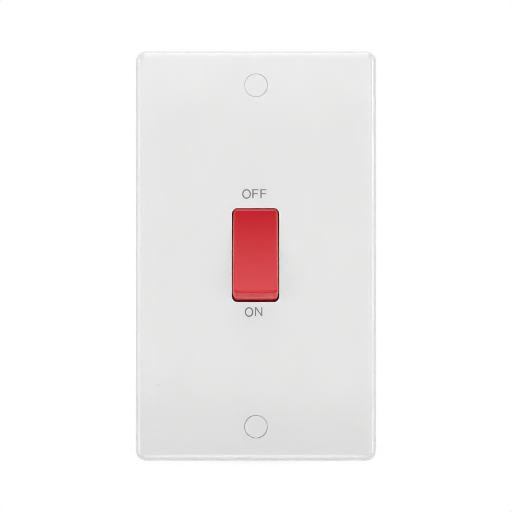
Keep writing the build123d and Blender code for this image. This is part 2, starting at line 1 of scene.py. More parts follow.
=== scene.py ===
import bmesh
import bpy
import json
import math
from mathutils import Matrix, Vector


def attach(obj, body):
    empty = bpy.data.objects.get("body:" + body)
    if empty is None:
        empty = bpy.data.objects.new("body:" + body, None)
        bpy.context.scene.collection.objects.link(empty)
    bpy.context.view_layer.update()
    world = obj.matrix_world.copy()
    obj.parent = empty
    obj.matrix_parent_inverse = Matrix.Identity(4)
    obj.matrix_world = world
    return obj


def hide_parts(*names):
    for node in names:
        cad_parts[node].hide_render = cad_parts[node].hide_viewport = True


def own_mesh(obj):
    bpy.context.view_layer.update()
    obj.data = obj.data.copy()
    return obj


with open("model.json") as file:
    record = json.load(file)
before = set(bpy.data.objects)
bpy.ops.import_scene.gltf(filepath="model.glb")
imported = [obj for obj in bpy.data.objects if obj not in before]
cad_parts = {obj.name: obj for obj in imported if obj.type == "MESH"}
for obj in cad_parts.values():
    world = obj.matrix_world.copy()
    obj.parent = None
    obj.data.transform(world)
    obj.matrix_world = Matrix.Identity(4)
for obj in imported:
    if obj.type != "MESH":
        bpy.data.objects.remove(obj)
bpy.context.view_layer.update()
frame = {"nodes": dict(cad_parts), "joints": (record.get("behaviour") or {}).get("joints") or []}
scene = bpy.context.scene
mm = 0.001
joints = {joint["name"]: joint for joint in frame["joints"]}
rockerAxis = [c / mm for c in joints["rocker_tilt"]["pos_m"]]
switchMiddle = (rockerAxis[0], rockerAxis[2])  # mm, across and up from the plate's middle
capMiddles = ((0, 60.3), (0, -60.3))
plateFace = -9.0  # mm; levels count into the wall
print("frame loaded:", len(frame["nodes"]), "nodes")


# nodes for materials, meshes and light
def addNode(tree, kind, inputs=None, **settings):
    node = tree.nodes.new(kind)
    for key, setting in settings.items():
        setattr(node, key, setting)
    for key, given in (inputs or {}).items():
        if hasattr(given, "is_output"):
            tree.links.new(given, node.inputs[key])
        else:
            node.inputs[key].default_value = given
    return node


def fromNode(tree, kind, output, inputs=None, **settings):
    return addNode(tree, kind, inputs, **settings).outputs[output]


def mathNode(tree, operation, *terms):
    return fromNode(tree, "ShaderNodeMath", "Value", dict(enumerate(terms)), operation=operation)


def vector(tree, x=0.0, y=0.0, z=0.0):
    return fromNode(tree, "ShaderNodeCombineXYZ", "Vector", {"X": x, "Y": y, "Z": z})


def mapped(tree, given, fromMin, fromMax, toMin=0.0, toMax=1.0, **settings):
    inputs = {"Value": given, "From Min": fromMin, "From Max": fromMax, "To Min": toMin, "To Max": toMax}
    return fromNode(tree, "ShaderNodeMapRange", "Result", inputs, **settings)


def distance(tree, point, place):
    return fromNode(tree, "ShaderNodeVectorMath", "Value", {0: point, 1: place}, operation="DISTANCE")


# materials
noise = {"detail": 3.0, "smoothDetail": 1.0, "rough": 0.55, "span": (0.3, 0.7)}  # most values lie in the span


def newMaterial(name):
    mat = bpy.data.materials.new(name)
    mat.use_nodes = True
    mat.node_tree.nodes.clear()
    return mat, mat.node_tree


def newFinish(name):
    mat, tree = newMaterial(name)
    shader = addNode(tree, "ShaderNodeBsdfPrincipled")
    addNode(tree, "ShaderNodeOutputMaterial", {"Surface": shader.outputs["BSDF"]})
    return mat, tree, shader


def objectPoint(tree, scale=(1, 1, 1)):
    coords = fromNode(tree, "ShaderNodeTexCoord", "Object")
    return fromNode(tree, "ShaderNodeMapping", "Vector", {"Vector": coords, "Scale": scale})


def grain(tree, point, size, detail=noise["detail"]):
    inputs = {"Vector": point, "Scale": 1 / size, "Detail": detail, "Roughness": noise["rough"]}
    return fromNode(tree, "ShaderNodeTexNoise", "Fac", inputs)


def ramp(tree, fac, low, high, span=noise["span"]):
    node = addNode(tree, "ShaderNodeValToRGB", {"Fac": fac})
    for stop, place, colour in zip(node.color_ramp.elements, span, (low, high)):
        stop.position = place
        stop.color = (*colour, 1)
    return node.outputs["Color"]


def mixColour(tree, fac, first, second):
    inputs = {"Factor": fac, "A": first, "B": (*second, 1)}
    return fromNode(tree, "ShaderNodeMix", "Result", inputs, data_type="RGBA")


def roughened(tree, shader, fac, low, high):
    tree.links.new(mapped(tree, fac, *noise["span"], low, high), shader.inputs["Roughness"])


def bumped(tree, shader, height, strength, depth):
    inputs = {"Height": height, "Strength": strength, "Distance": depth}
    tree.links.new(fromNode(tree, "ShaderNodeBump", "Normal", inputs), shader.inputs["Normal"])


def glossed(tree, shader, point, look):
    roughened(tree, shader, grain(tree, point, look["patch"]), *look["rough"])
    peel = grain(tree, point, look["peel"], noise["smoothDetail"])
    bumped(tree, shader, peel, look["peelStrength"], look["peelDepth"])
    shader.inputs["IOR"].default_value = look["ior"]


# the plate's white, with a painted highlight on the lip of the rocker's opening, and two specks of dust, in
# mm
whitePlateLook = {
    "low": (0.7775, 0.7765, 0.7745), "high": (0.8025, 0.8010, 0.7990), "cloud": 22 * mm, "ior": 1.5,
    "rough": (0.11, 0.135), "patch": 4 * mm, "peel": 1.1 * mm, "peelStrength": 0.003, "peelDepth": 0.05 * mm,
    "lip": (0.95, 0.95, 0.95), "lipReach": (10 * mm, 18.5 * mm), "lipLevels": (-9.0 * mm, -8.985 * mm),
    "speck": (0.63, 0.63, 0.62), "speckCore": 0.4,
    "specks": (((-34.5, plateFace, -45.5), 0.40), ((-37.1, plateFace, -50.6), 0.24)),
}


# mask for the painted highlight on the lip of the rocker's opening
def lipMask(tree, point, look):
    split = addNode(tree, "ShaderNodeSeparateXYZ", {"Vector": point})
    mask = mapped(tree, split.outputs["Y"], *look["lipLevels"])
    for axis, reach in zip("XZ", look["lipReach"]):
        away = mathNode(tree, "ABSOLUTE", split.outputs[axis])
        mask = mathNode(tree, "MULTIPLY", mask, mathNode(tree, "LESS_THAN", away, reach))
    return mask


def whitePlateFinish(look):
    mat, tree, shader = newFinish("gloss white moulding")
    point = objectPoint(tree)
    colour = ramp(tree, grain(tree, point, look["cloud"]), look["low"], look["high"])
    # painted highlight: the lip of the rocker's opening is made paler than the rest of the plate
    colour = mixColour(tree, lipMask(tree, point, look), colour, look["lip"])
    for place, size in look["specks"]:
        apart = distance(tree, point, [c * mm for c in place])
        mark = mapped(tree, apart, size * mm, look["speckCore"] * size * mm)
        colour = mixColour(tree, mark, colour, look["speck"])
    tree.links.new(colour, shader.inputs["Base Color"])
    glossed(tree, shader, point, look)
    return mat


# the rocker's red, with painted shade: darker at its upper end and lighter at its lower end
redRockerLook = {
    "upper": (0.600, 0.0080, 0.0165), "lower": (0.690, 0.0105, 0.0205), "ends": (14 * mm, -14 * mm),
    "cloud": 9 * mm, "cloudShare": 0.25, "blend": (0.12, 1.0), "bounce": (0.46, 0.44, 0.44), "ior": 1.5,
    "rough": (0.04, 0.06), "patch": 3 * mm, "peel": 1.4 * mm, "peelStrength": 0.002, "peelDepth": 0.04 * mm,
}


def redRockerFinish(look):
    mat, tree, shader = newFinish("gloss red moulding")
    point = objectPoint(tree)
    height = fromNode(tree, "ShaderNodeSeparateXYZ", "Z", {"Vector": point})
    # painted shade: the red runs darker towards the rocker's top and lighter towards its lower end
    along = mapped(tree, height, *look["ends"])
    cloudAndPaintedShade = mathNode(tree, "MULTIPLY_ADD", grain(tree, point, look["cloud"]), look["cloudShare"], along)
    colour = ramp(tree, cloudAndPaintedShade, look["upper"], look["lower"], look["blend"])
    bounced = fromNode(tree, "ShaderNodeLightPath", "Is Diffuse Ray")
    colour = mixColour(tree, bounced, colour, look["bounce"])  # keeps red off the white plate
    tree.links.new(colour, shader.inputs["Base Color"])
    glossed(tree, shader, point, look)
    return mat


surfaceKinds = {
    "moulding": {"cloud": 6 * mm, "patch": 1.5 * mm, "depth": 0.05 * mm, "metallic": 0.0},
    "metal": {"cloud": 3 * mm, "patch": 0.8 * mm, "depth": 0.02 * mm, "metallic": 1.0},
}
surfaceLooks = {
    "black moulding": {
        "kind": "moulding", "low": (0.014, 0.014, 0.015), "high": (0.024, 0.024, 0.025),
        "rough": (0.42, 0.56), "fine": 0.35 * mm, "bump": 0.16,
    },
    "natural nylon": {
        "kind": "moulding", "low": (0.66, 0.62, 0.53), "high": (0.72, 0.69, 0.60),
        "rough": (0.38, 0.5), "fine": 0.5 * mm, "bump": 0.08,
    },
    "grey print": {
        "kind": "moulding", "low": (0.165, 0.164, 0.166), "high": (0.190, 0.189, 0.191),
        "rough": (0.38, 0.48), "fine": 0.2 * mm, "bump": 0.05,
    },
    "turned brass": {
        "kind": "metal", "low": (0.71, 0.49, 0.20), "high": (0.77, 0.55, 0.24),
        "rough": (0.20, 0.30), "fine": 0.25 * mm, "bump": 0.06, "stretch": (1, 1, 0.12),
    },
    "rolled copper": {
        "kind": "metal", "low": (0.69, 0.31, 0.17), "high": (0.77, 0.37, 0.21),
        "rough": (0.28, 0.42), "fine": 0.3 * mm, "bump": 0.06, "stretch": (1, 1, 0.1),
    },
    "silver tip": {
        "kind": "metal", "low": (0.70, 0.70, 0.68), "high": (0.84, 0.83, 0.80),
        "rough": (0.26, 0.40), "fine": 0.3 * mm, "bump": 0.05,
    },
    "zinc plate": {
        "kind": "metal", "low": (0.50, 0.50, 0.47), "high": (0.66, 0.67, 0.66),
        "rough": (0.24, 0.38), "fine": 0.3 * mm, "bump": 0.05,
    },
    "spring wire": {
        "kind": "metal", "low": (0.36, 0.36, 0.37), "high": (0.50, 0.50, 0.51),
        "rough": (0.22, 0.34), "fine": 0.15 * mm, "bump": 0.04,
    },
}


def surfaceFinish(name):
    look = surfaceLooks[name]
    kind = surfaceKinds[look["kind"]]
    mat, tree, shader = newFinish(name)
    colour = ramp(tree, grain(tree, objectPoint(tree), kind["cloud"]), look["low"], look["high"])
    tree.links.new(colour, shader.inputs["Base Color"])
    drawn = objectPoint(tree, look.get("stretch", (1, 1, 1)))  # long streaks along drawn metal
    roughened(tree, shader, grain(tree, drawn, kind["patch"]), *look["rough"])
    bumped(tree, shader, grain(tree, drawn, look["fine"]), look["bump"], kind["depth"])
    shader.inputs["Metallic"].default_value = kind["metallic"]
    return mat


whitePlastic = whitePlateFinish(whitePlateLook)
redPlastic = redRockerFinish(redRockerLook)
blackPlastic = surfaceFinish("black moulding")
nylonPlastic = surfaceFinish("natural nylon")
greyPrint = surfaceFinish("grey print")
brass = surfaceFinish("turned brass")
copper = surfaceFinish("rolled copper")
silver = surfaceFinish("silver tip")
zinc = surfaceFinish("zinc plate")
springSteel = surfaceFinish("spring wire")
print("materials made:", len(bpy.data.materials))


# moulded and pressed pieces: the frame's own shapes, merged and smoothed; mm and degrees
meshing = {
    "merge": 0.002, "fineMerge": 0.0005, "slack": 0.002, "evenWeight": 90,
    "mouldedSharp": 28, "turnedSharp": 30, "wireSharp": 60,
}


def mergedNode(node):
    bm = bmesh.new()
    bm.from_mesh(frame["nodes"][node].data)
    bmesh.ops.remove_doubles(bm, verts=bm.verts, dist=meshing["merge"] * mm)
    return bm


def newObject(bm, name, mat):
    mesh = bpy.data.meshes.new(name)
    bm.to_mesh(mesh)
    bm.free()
    mesh.materials.append(mat)
    made = bpy.data.objects.new(name, mesh)
    scene.collection.objects.link(made)
    return made


def finishPiece(bm, name, body, mat, nodes, sharp=meshing["mouldedSharp"]):
    for face in bm.faces:
        face.smooth = True
    for edge in bm.edges:
        edge.smooth = len(edge.link_faces) == 2 and edge.calc_face_angle() < math.radians(sharp)
    piece = newObject(bm, name, mat)
    weighted = piece.modifiers.new("even normals", "WEIGHTED_NORMAL")
    weighted.keep_sharp = True
    weighted.weight = meshing["evenWeight"]
    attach(piece, body)
    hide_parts(*nodes)
    return piece


def smoothNodes(rows):
    for node, (name, body, slotName, mat) in rows.items():
        finishPiece(mergedNode(node), name, body, mat, [node])


smoothPieces = {
    "bearing_cover": ("bearingCover", "base", "black_moulding", blackPlastic),
    "switch_housing": ("switchHousing", "base", "black_moulding", blackPlastic),
    "live_supply_terminal": ("liveSupplyTerminal", "base", "brass", brass),
    "live_load_terminal": ("liveLoadTerminal", "base", "brass", brass),
    "neutral_supply_terminal": ("neutralSupplyTerminal", "base", "brass", brass),
    "neutral_load_terminal": ("neutralLoadTerminal", "base", "brass", brass),
    "earth_terminal": ("earthTerminal", "base", "brass", brass),
}
smoothNodes(smoothPieces)
print("moulded pieces smoothed:", len(smoothPieces))


# rings of points that the finer skins are made from
def bridgeRings(bm, rings):
    for first, second in zip(rings, rings[1:]):
        for i in range(len(first)):
            j = (i + 1) % len(first)
            bm.faces.new((first[i], first[j], second[j], second[i]))


def roundedRing(bm, halfWidth, halfHeight, corner, level, steps):
    ring = []
    for quarter, (sideX, sideZ) in enumerate(((1, 1), (-1, 1), (-1, -1), (1, -1))):
        for i in range(steps + 1):
            a = math.pi / 2 * (quarter + i / steps)
            x = sideX * (halfWidth - corner) + corner * math.cos(a)
            z = sideZ * (halfHeight - corner) + corner * math.sin(a)
            ring.append(bm.verts.new((x * mm, level * mm, z * mm)))
    return ring


def ovalRing(bm, middle, reach, level, steps):
    ring = []
    for i in range(steps):
        a = 2 * math.pi * i / steps
        x, z = middle[0] + reach[0] * math.cos(a), middle[1] + reach[1] * math.sin(a)
        ring.append(bm.verts.new((x * mm, level * mm, z * mm)))
    return ring


def circleRing(bm, middle, radius, level, steps):
    return ovalRing(bm, middle, (radius, radius), level, steps)


def sameLevel(first, second):
    return abs(first - second) < meshing["slack"]


def fillLevel(bm, level, near=None, reach=0.0):
    edges = []
    for edge in bm.edges:
        ends = [v.co / mm for v in edge.verts]
        flat = all(sameLevel(p.y, level) for p in ends)
        close = near is None or all(math.hypot(p.x - near[0], p.z - near[1]) < reach for p in ends)
        if flat and close and len(edge.link_faces) == 1:
            edges.append(edge)
    bmesh.ops.triangle_fill(bm, use_beauty=True, edges=edges)


def openEdges(bm):
    return sum(len(e.link_faces) != 2 for e in bm.edges)


# front plate: the frame's ribs and bosses inside a finer outer skin, lip and wells
plateLook = {
    "halfWidth": 42.85, "halfHeight": 72.9, "corner": 3.8, "face": plateFace, "rim": 0.0,
    "edge": 3.0, "draft": 2.0, "cornerSteps": 18, "edgeSteps": 16, "skinSlack": 0.05,
    "wells": capMiddles, "wellRadius": 4.12, "wellFloor": -7.4, "wellSteps": 80,
    "oldWell": 4.17, "fillMargin": 0.1,  # the old well takes in the frame's own, which is a little wider
    "opening": {
        "middle": switchMiddle, "half": (8.35, 16.609), "corner": 1.98, "level": -8.77, "reach": (12, 20),
        "lipWidth": 0.34, "lipDrop": 0.06, "soften": 0.05, "softSteps": 3,
    },
}


def edgeRows(look):
    draft = math.radians(look["draft"])
    middle = look["face"] + look["edge"]
    start = -look["edge"] * math.sin(draft) + middle
    foot = start * math.tan(draft)
    inner = foot - look["edge"] * math.cos(draft)
    rows = [(0.0, look["rim"]), (foot / 2, start / 2)]
    for i in range(look["edgeSteps"] + 1):
        a = draft + (math.pi / 2 - draft) * i / look["edgeSteps"]
        rows.append((inner + look["edge"] * math.cos(a), middle - look["edge"] * math.sin(a)))
    return rows


def onSkin(point, look, rows):
    pastX = max(abs(point.x) - look["halfWidth"] + look["corner"], 0)
    pastZ = max(abs(point.z) - look["halfHeight"] + look["corner"], 0)
    apart = math.hypot(pastX, pastZ) - look["corner"]
    slack = meshing["slack"]
    for (nearOut, nearLevel), (farOut, farLevel) in zip(rows, rows[1:]):
        if farLevel - slack <= point.y <= nearLevel + slack:
            share = (point.y - nearLevel) / (farLevel - nearLevel)
            return abs(apart - nearOut - share * (farOut - nearOut)) < look["skinSlack"]
    return False


def inWell(point, look):
    apart = math.hypot(point.x, abs(point.z) - look["wells"][0][1])
    return point.y < look["wellFloor"] + meshing["slack"] and apart < look["oldWell"]


def inLip(point, look):
    near = abs(point.x) < look["reach"][0] and abs(point.z) < look["reach"][1]
    return near and point.y < look["level"] + meshing["slack"]


def isOldSkin(face, look, rows):
    points = [v.co / mm for v in face.verts]
    tests = (
        lambda p: sameLevel(p.y, look["face"]),
        lambda p: sameLevel(p.y, look["rim"]),
        lambda p: onSkin(p, look, rows),
        lambda p: inWell(p, look),
        lambda p: inLip(p, look["opening"]),
    )
    return any(all(test(p) for p in points) for test in tests)


def lipColumn(bm, foot, look, rows):
    past = []
    for place, middle, half in zip((foot.co.x, foot.co.z), look["middle"], look["half"]):
        apart = place / mm - middle
        past.append(math.copysign(max(abs(apart) - half + look["corner"], 0), apart))
    out = Vector((past[0], 0, past[1])).normalized()
    column = [foot]
    for shift, level in rows:
        x, z = foot.co.x + out.x * shift * mm, foot.co.z + out.z * shift * mm
        column.append(bm.verts.new((x, level * mm, z)))
    return column


def openingLip(bm, look, face):
    crest = face + look["lipDrop"]
    rows = []
    for i in range(look["softSteps"] + 1):
        a = math.pi / 2 * i / look["softSteps"]
        rows.append((look["soften"] * (1 - math.cos(a)), crest + look["soften"] * (1 - math.sin(a))))
    rows.append((look["lipWidth"], face))
    loose = [e for e in bm.edges if len(e.link_faces) == 1]
    columns = {}
    for edge in [e for e in loose if all(sameLevel(v.co.y / mm, look["level"]) for v in e.verts)]:
        for v in edge.verts:
            if v not in columns:
                columns[v] = lipColumn(bm, v, look, rows)
        first, second = (columns[v] for v in edge.verts)
        for i in range(len(rows)):
            bm.faces.new((first[i], second[i], second[i + 1], first[i + 1]))


def makePlate(look):
    bm = mergedNode("front_plate")
    rows = edgeRows(look)
    old = [face for face in bm.faces if isOldSkin(face, look, rows)]
    bmesh.ops.delete(bm, geom=old, context="FACES")
    rings = []
    for out, level in rows:
        half = (look["halfWidth"] + out, look["halfHeight"] + out)
        rings.append(roundedRing(bm, *half, look["corner"] + out, level, look["cornerSteps"]))
    bridgeRings(bm, rings)
    openingLip(bm, look["opening"], look["face"])
    radius = look["wellRadius"]
    for middle in look["wells"]:
        levels = (look["face"], look["wellFloor"])
        bridgeRings(bm, [circleRing(bm, middle, radius, level, look["wellSteps"]) for level in levels])
        fillLevel(bm, look["wellFloor"], middle, radius + look["fillMargin"])
    fillLevel(bm, look["face"])
    fillLevel(bm, look["rim"])
    bmesh.ops.recalc_face_normals(bm, faces=bm.faces)
    print("plate edges left open:", openEdges(bm))
    finishPiece(bm, "frontPlate", "base", whitePlastic, ["front_plate"])


makePlate(plateLook)


# screw caps: flush discs with a softened edge
capLook = {
    "upper": 4.02, "lower": 3.94, "face": plateFace, "soften": 0.15, "softSteps": 4,
    "seat": plateLook["wellFloor"], "spigot": 3.55, "foot": -6.2, "steps": 80,
}


def makeCap(name, node, middle, radius, look):
    bm = bmesh.new()
    rows = []
    for i in range(look["softSteps"] + 1):
        a = math.pi / 2 * (1 - i / look["softSteps"])
        across = radius - look["soften"] * (1 - math.cos(a))
        rows.append((across, look["face"] + look["soften"] * (1 - math.sin(a))))
    rows += [(radius, look["seat"]), (look["spigot"], look["seat"]), (look["spigot"], look["foot"])]
    rings = [circleRing(bm, middle, across, level, look["steps"]) for across, level in rows]
    bridgeRings(bm, rings)
    bm.faces.new(rings[0])
    bm.faces.new(rings[-1])
    bmesh.ops.recalc_face_normals(bm, faces=bm.faces)
    finishPiece(bm, name, "base", whitePlastic, [node])


makeCap("upperCap", "upper_screw_cap", capMiddles[0], capLook["upper"], capLook)
makeCap("lowerCap", "lower_screw_cap", capMiddles[1], capLook["lower"], capLook)
print("plate and caps made")


# rocker: a fine outer skin over the frame's hollow moulding
rockerLook = {
    "axis": rockerAxis, "tilt": 10.5, "halfWidth": 7.97, "halfLength": 14.9, "height": 9.1,
    "dish": 0.5, "corner": 1.6, "edge": 1.0, "lean": 24.9, "bow": 20.0, "foot": -0.9, "settleSteps": 20,
    "skin": 0.05, "coreInset": 0.15, "wall": 1.6, "wallSlack": 0.1, "sideSlack": 0.01, "footSlack": 0.05,
    "sideSteps": 44, "cornerSteps": 10, "endSteps": 8, "wallSteps": 12, "edgeSteps": 8,
}


def rockerForm(look):
    lean = math.radians(look["lean"])
    dishRadius = (look["halfLength"] ** 2 + look["dish"] ** 2) / (2 * look["dish"])
    dishTop = look["height"] - look["dish"] + dishRadius
    bowMiddle = look["halfLength"] - look["bow"] * math.cos(lean)
    bowHeight = look["height"] - look["bow"] * math.sin(lean)
    level = look["height"] - look["edge"]
    for _ in range(look["settleSteps"]):  # settles where the edge rounding touches both the end and the face
        across = bowMiddle + math.sqrt((look["bow"] - look["edge"]) ** 2 - (level - bowHeight) ** 2)
        level = dishTop - math.sqrt((dishRadius + look["edge"]) ** 2 - across**2)
    return {
        "dishRadius": dishRadius, "dishTop": dishTop, "bowMiddle": bowMiddle, "bowHeight": bowHeight,
        "edgeMiddle": (across, level), "edgeStart": math.atan2(level - bowHeight, across - bowMiddle),
        "edgeEnd": math.atan2(dishTop - level, -across),
    }


def faceLevel(form, u):
    return form["dishTop"] - math.sqrt(form["dishRadius"] ** 2 - u**2)


def endReach(look, form, level):
    return form["bowMiddle"] + math.sqrt(look["bow"] ** 2 - max(level - form["bowHeight"], 0) ** 2)


def outlineSamples(look):
    side = [(2 * i / look["sideSteps"] - 1) for i in range(look["sideSteps"] + 1)]
    bend = [math.pi / 2 * i / look["cornerSteps"] for i in range(1, look["cornerSteps"])]
    end = [(1 - 2 * i / look["endSteps"]) for i in range(look["endSteps"] + 1)]
    half = [(1, f, 1, 0) for f in side] + [(1, 1, math.cos(a), math.sin(a)) for a in bend]
    half += [(g, 1, 0, 1) for g in end] + [(-1, 1, -math.sin(a), math.cos(a)) for a in bend]
    return half + [(-a, -b, -c, -d) for a, b, c, d in half]


def rockerPoint(look, x, u, w):
    tilt = math.radians(look["tilt"])
    x0, y0, z0 = look["axis"]
    y = y0 + u * math.sin(tilt) - w * math.cos(tilt)
    z = z0 + u * math.cos(tilt) + w * math.sin(tilt)
    return Vector(((x0 + x) * mm, y * mm, z * mm))


def rockerRing(bm, look, samples, halfWidth, halfLength, corner, levelAt):
    ring = []
    for fx, fu, ax, au in samples:
        x = fx * (halfWidth - corner) + corner * ax
        u = fu * (halfLength - corner) + corner * au
        ring.append(bm.verts.new(rockerPoint(look, x, u, levelAt(u, au * au))))
    return ring


def wallRing(bm, look, form, samples, inset, share):
    wallTop = form["edgeMiddle"][1] + look["edge"] * math.sin(form["edgeStart"])
    reach = endReach(look, form, look["foot"] + share * (wallTop - look["foot"]))

    def levelAt(u, k):
        crest = (1 - k) * (faceLevel(form, u) - look["edge"]) + k * wallTop
        return look["foot"] + share * (crest - look["foot"]) - share * inset

    return rockerRing(bm, look, samples, look["halfWidth"] - inset, reach - inset, look["corner"], levelAt)


def edgeRing(bm, look, form, samples, inset, share):
    edge, (across, height) = look["edge"], form["edgeMiddle"]
    a = math.pi / 2 * share
    b = form["edgeStart"] + share * (form["edgeEnd"] - form["edgeStart"])
    drop = edge * (1 - math.cos(a))
    half = (look["halfWidth"] - drop - inset, across + edge * math.cos(b) - inset)

    def levelAt(u, k):
        side = faceLevel(form, u) - edge + edge * math.sin(a)
        return (1 - k) * side + k * (height + edge * math.sin(b)) - inset

    return rockerRing(bm, look, samples, *half, look["corner"] - drop, levelAt)


def rockerSkin(bm, look, form, inset):
    samples = outlineSamples(look)
    wall, edge = look["wallSteps"], look["edgeSteps"]
    rings = [wallRing(bm, look, form, samples, inset, i / wall) for i in range(wall + 1)]
    rings += [edgeRing(bm, look, form, samples, inset, i / edge) for i in range(1, edge + 1)]
    bridgeRings(bm, rings)
    top, half, run = rings[-1], len(samples) // 2, look["sideSteps"]
    right, left = top[: run + 1], top[half : half + run + 1][::-1]
    for i in range(run):
        bm.faces.new((right[i], right[i + 1], left[i + 1], left[i]))
    bm.faces.new(top[run : half + 1])
    bm.faces.new(top[half + run :] + [top[0]])
    return rings[0]


def shrinkCore(core, look, form):
    tilt = math.radians(look["tilt"])
    reach = (look["halfWidth"], endReach(look, form, 0), look["height"] - look["dish"])
    inside = [r - look["wall"] + look["wallSlack"] for r in reach]
    core.normal_update()
    for v in core.verts:
        x, y, z = (v.co[i] / mm - look["axis"][i] for i in range(3))
        u, w = y * math.sin(tilt) + z * math.cos(tilt), z * math.sin(tilt) - y * math.cos(tilt)
        outer = abs(x) > inside[0] or abs(u) > inside[1] or w > inside[2]
        if outer and abs(x) < look["halfWidth"] + look["sideSlack"] and w > look["foot"] - look["footSlack"]:
            v.co -= v.normal * look["coreInset"] * mm


def makeRocker(look):
    form = rockerForm(look)
    core = mergedNode("rocker")
    shrinkCore(core, look, form)
    skin = bmesh.new()
    bridgeRings(skin, [rockerSkin(skin, look, form, inset) for inset in (0.0, look["skin"])])
    bmesh.ops.recalc_face_normals(skin, faces=skin.faces)
    print("rocker skin edges left open:", openEdges(skin))
    shell = bpy.data.meshes.new("rockerSkin")
    skin.to_mesh(shell)
    skin.free()
    core.from_mesh(shell)
    bpy.data.meshes.remove(shell)
    finishPiece(core, "rockerMoulding", "rocker", redPlastic, ["rocker"])


makeRocker(rockerLook)
print("rocker made")


# node trees that put a turned shape on each point of a carrier mesh
def newTree(name, sizes):
    tree = bpy.data.node_groups.new(name, "GeometryNodeTree")
    tree.interface.new_socket("Geometry", in_out="INPUT", socket_type="NodeSocketGeometry")
    tree.interface.new_socket("Geometry", in_out="OUTPUT", socket_type="NodeSocketGeometry")
    for label, kind in sizes.items():
        tree.interface.new_socket(label, in_out="INPUT", socket_type=kind)
    return tree, addNode(tree, "NodeGroupInput").outputs


def raised(tree, geometry, height):
    inputs = {"Geometry": geometry, "Translation": vector(tree, z=height)}
    return fromNode(tree, "GeometryNodeTransform", "Geometry", inputs)


def cylinder(tree, sides, radius, depth):
    inputs = {"Vertices": sides, "Radius": radius, "Depth": depth}
    return fromNode(tree, "GeometryNodeMeshCylinder", "Mesh", inputs)


def coil(tree, radius, turns, height, wire, sides, steps):
    inputs = {"Resolution": steps, "Rotations": turns, "Height": height}
    inputs.update({"Start Radius": radius, "End Radius": radius})
    path = fromNode(tree, "GeometryNodeCurveSpiral", "Curve", inputs)
    upright = fromNode(tree, "GeometryNodeSetCurveNormal", "Curve", {"Curve": path}, mode="Z_UP")
    inputs = {"Resolution": sides, "Radius": wire}
    profile = fromNode(tree, "GeometryNodeCurvePrimitiveCircle", "Curve", inputs)
    inputs = {"Curve": upright, "Profile Curve": profile, "Fill Caps": True}
    return fromNode(tree, "GeometryNodeCurveToMesh", "Mesh", inputs)


def turned(tree, **angles):
    return fromNode(tree, "FunctionNodeEulerToRotation", "Rotation", {"Euler": vector(tree, **angles)})


def onPoints(tree, carrier, shape, lean):
    points = fromNode(tree, "GeometryNodeMeshToPoints", "Points", {"Mesh": carrier})
    inputs = {"Points": points, "Instance": shape, "Rotation": turned(tree, x=lean)}
    return fromNode(tree, "GeometryNodeInstanceOnPoints", "Instances", inputs)


def endTree(tree, placed, finish):
    real = fromNode(tree, "GeometryNodeRealizeInstances", "Geometry", {"Geometry": placed})
    inputs = {"Geometry": real, "Material": finish}
    shown = fromNode(tree, "GeometryNodeSetMaterial", "Geometry", inputs)
    addNode(tree, "NodeGroupOutput", {"Geometry": shown})


def treePiece(name, tree, points, given, body, node, sharp):
    carrier = bpy.data.meshes.new(name + "Points")
    carrier.from_pydata([[c * mm for c in p] for p in points], [], [])
    maker = bpy.data.objects.new(name + "Maker", carrier)
    scene.collection.objects.link(maker)
    modifier = maker.modifiers.new(name, "NODES")
    modifier.node_group = tree
    for item in tree.interface.items_tree:
        if item.in_out == "INPUT" and item.name in given:
            modifier[item.identifier] = given[item.name]
    seen = maker.evaluated_get(bpy.context.evaluated_depsgraph_get())
    mesh = bpy.data.meshes.new_from_object(seen)
    maker.modifiers.clear()
    bpy.data.objects.remove(maker)
    bpy.data.meshes.remove(carrier)
    bm = bmesh.new()
    bm.from_mesh(mesh)
    bpy.data.meshes.remove(mesh)
    bmesh.ops.remove_doubles(bm, verts=bm.verts, dist=meshing["fineMerge"] * mm)
    print(name, "faces:", len(bm.faces), "open edges:", openEdges(bm))
    return finishPiece(bm, name, body, given["Finish"], [node], sharp)


# screws: one node tree, set by each kind's own sizes
screwMesh = {
    "headSides": 40, "headBands": 2, "midLevel": 0.0001,
    "shankSides": 32, "threadSteps": 24, "threadSides": 4,
}
screwLengths = {
    "head": ("Head Radius", "Head Height", "Head Edge"),
    "slot": ("Slot Width", "Slot Depth", "Slot Reach"),
    "neck": ("Neck Radius", "Neck Length"),
    "core": ("Core Radius", "Thread Length"),
    "thread": ("Ridge", "Pitch"),
}
atX, atZ = switchMiddle
screwLooks = {
    "fixing_screws": {
        "name": "fixingScrews", "seats": [(x, -3.4, z) for x, z in capMiddles],
        "turn": 90, "seed": 3, "cross": True, "head": (3.3, 2.3, 0.8), "slot": (0.9, 1.3, 4.0),
        "neck": (1.55, 3.4), "core": (1.4, 21.6), "thread": (0.34, 0.7),
    },
    "terminal_screws": {
        "name": "terminalScrews",
        "seats": [
            (x + atX, 19.25, z + dz + atZ) for x in (-10, 10) for z in (-25.3, 25.3) for dz in (-3.4, 3.4)
        ],
        "turn": -90, "seed": 7, "cross": False, "head": (3.2, 2.6, 0.3), "slot": (1.1, 1.3, 7.0),
        "neck": (2.2, 0.4), "core": (2.1, 6.4), "thread": (0.38, 0.8),
    },
    "assembly_screws": {
        "name": "assemblyScrews",
        "seats": [(x + atX, 1.8, z + atZ) for x in (-15.37, 15.37) for z in (-8, 8)],
        "turn": -90, "seed": 11, "cross": True, "head": (2.9, 2.2, 0.7), "slot": (0.8, 1.2, 3.6),
        "neck": (1.2, 1.0), "core": (1.1, 6.4), "thread": (0.33, 1.1),
    },
    "earth_screws": {
        "name": "earthScrews", "seats": [(29.81, 9.85, z) for z in (-3.2, 3.2)],
        "turn": -90, "seed": 5, "cross": False, "head": (2.8, 2.2, 0.3), "slot": (1.0, 1.1, 6.2),
        "neck": (1.7, 0.4), "core": (1.65, 3.8), "thread": (0.33, 0.7),
    },
}


